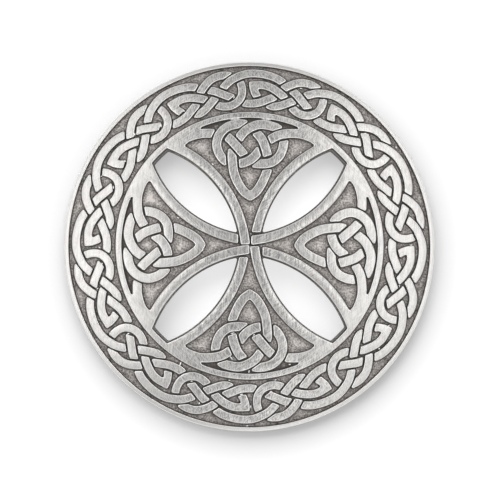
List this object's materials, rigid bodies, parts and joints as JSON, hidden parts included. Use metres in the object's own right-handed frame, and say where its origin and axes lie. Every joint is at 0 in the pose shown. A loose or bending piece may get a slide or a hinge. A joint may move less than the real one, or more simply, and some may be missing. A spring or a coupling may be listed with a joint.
{
  "type": "plaid brooch",
  "caption": "Round domed brooch with a plaited knotwork border and a pierced cross of knotted arms, worn at the shoulder to hold a plaid, with a plain pin across its hollow back.",
  "frame": {"origin": "centre of the disc, on the surface that its rim lies on", "axes": "+Z out of the face, +Y to the top of the pattern as pictured, +X to the right of the face; the pin runs along X"},
  "size_m": [0.076, 0.076, 0.0078],
  "materials": {
    "pewter": "antique pewter: satin on the raised strands, dark and grainy in the sunk ground",
    "pin_steel": "plain drawn steel wire"
  },
  "bodies": {
    "root": {"disc": "pewter", "pin": "pin_steel"}
  },
  "joints": []
}
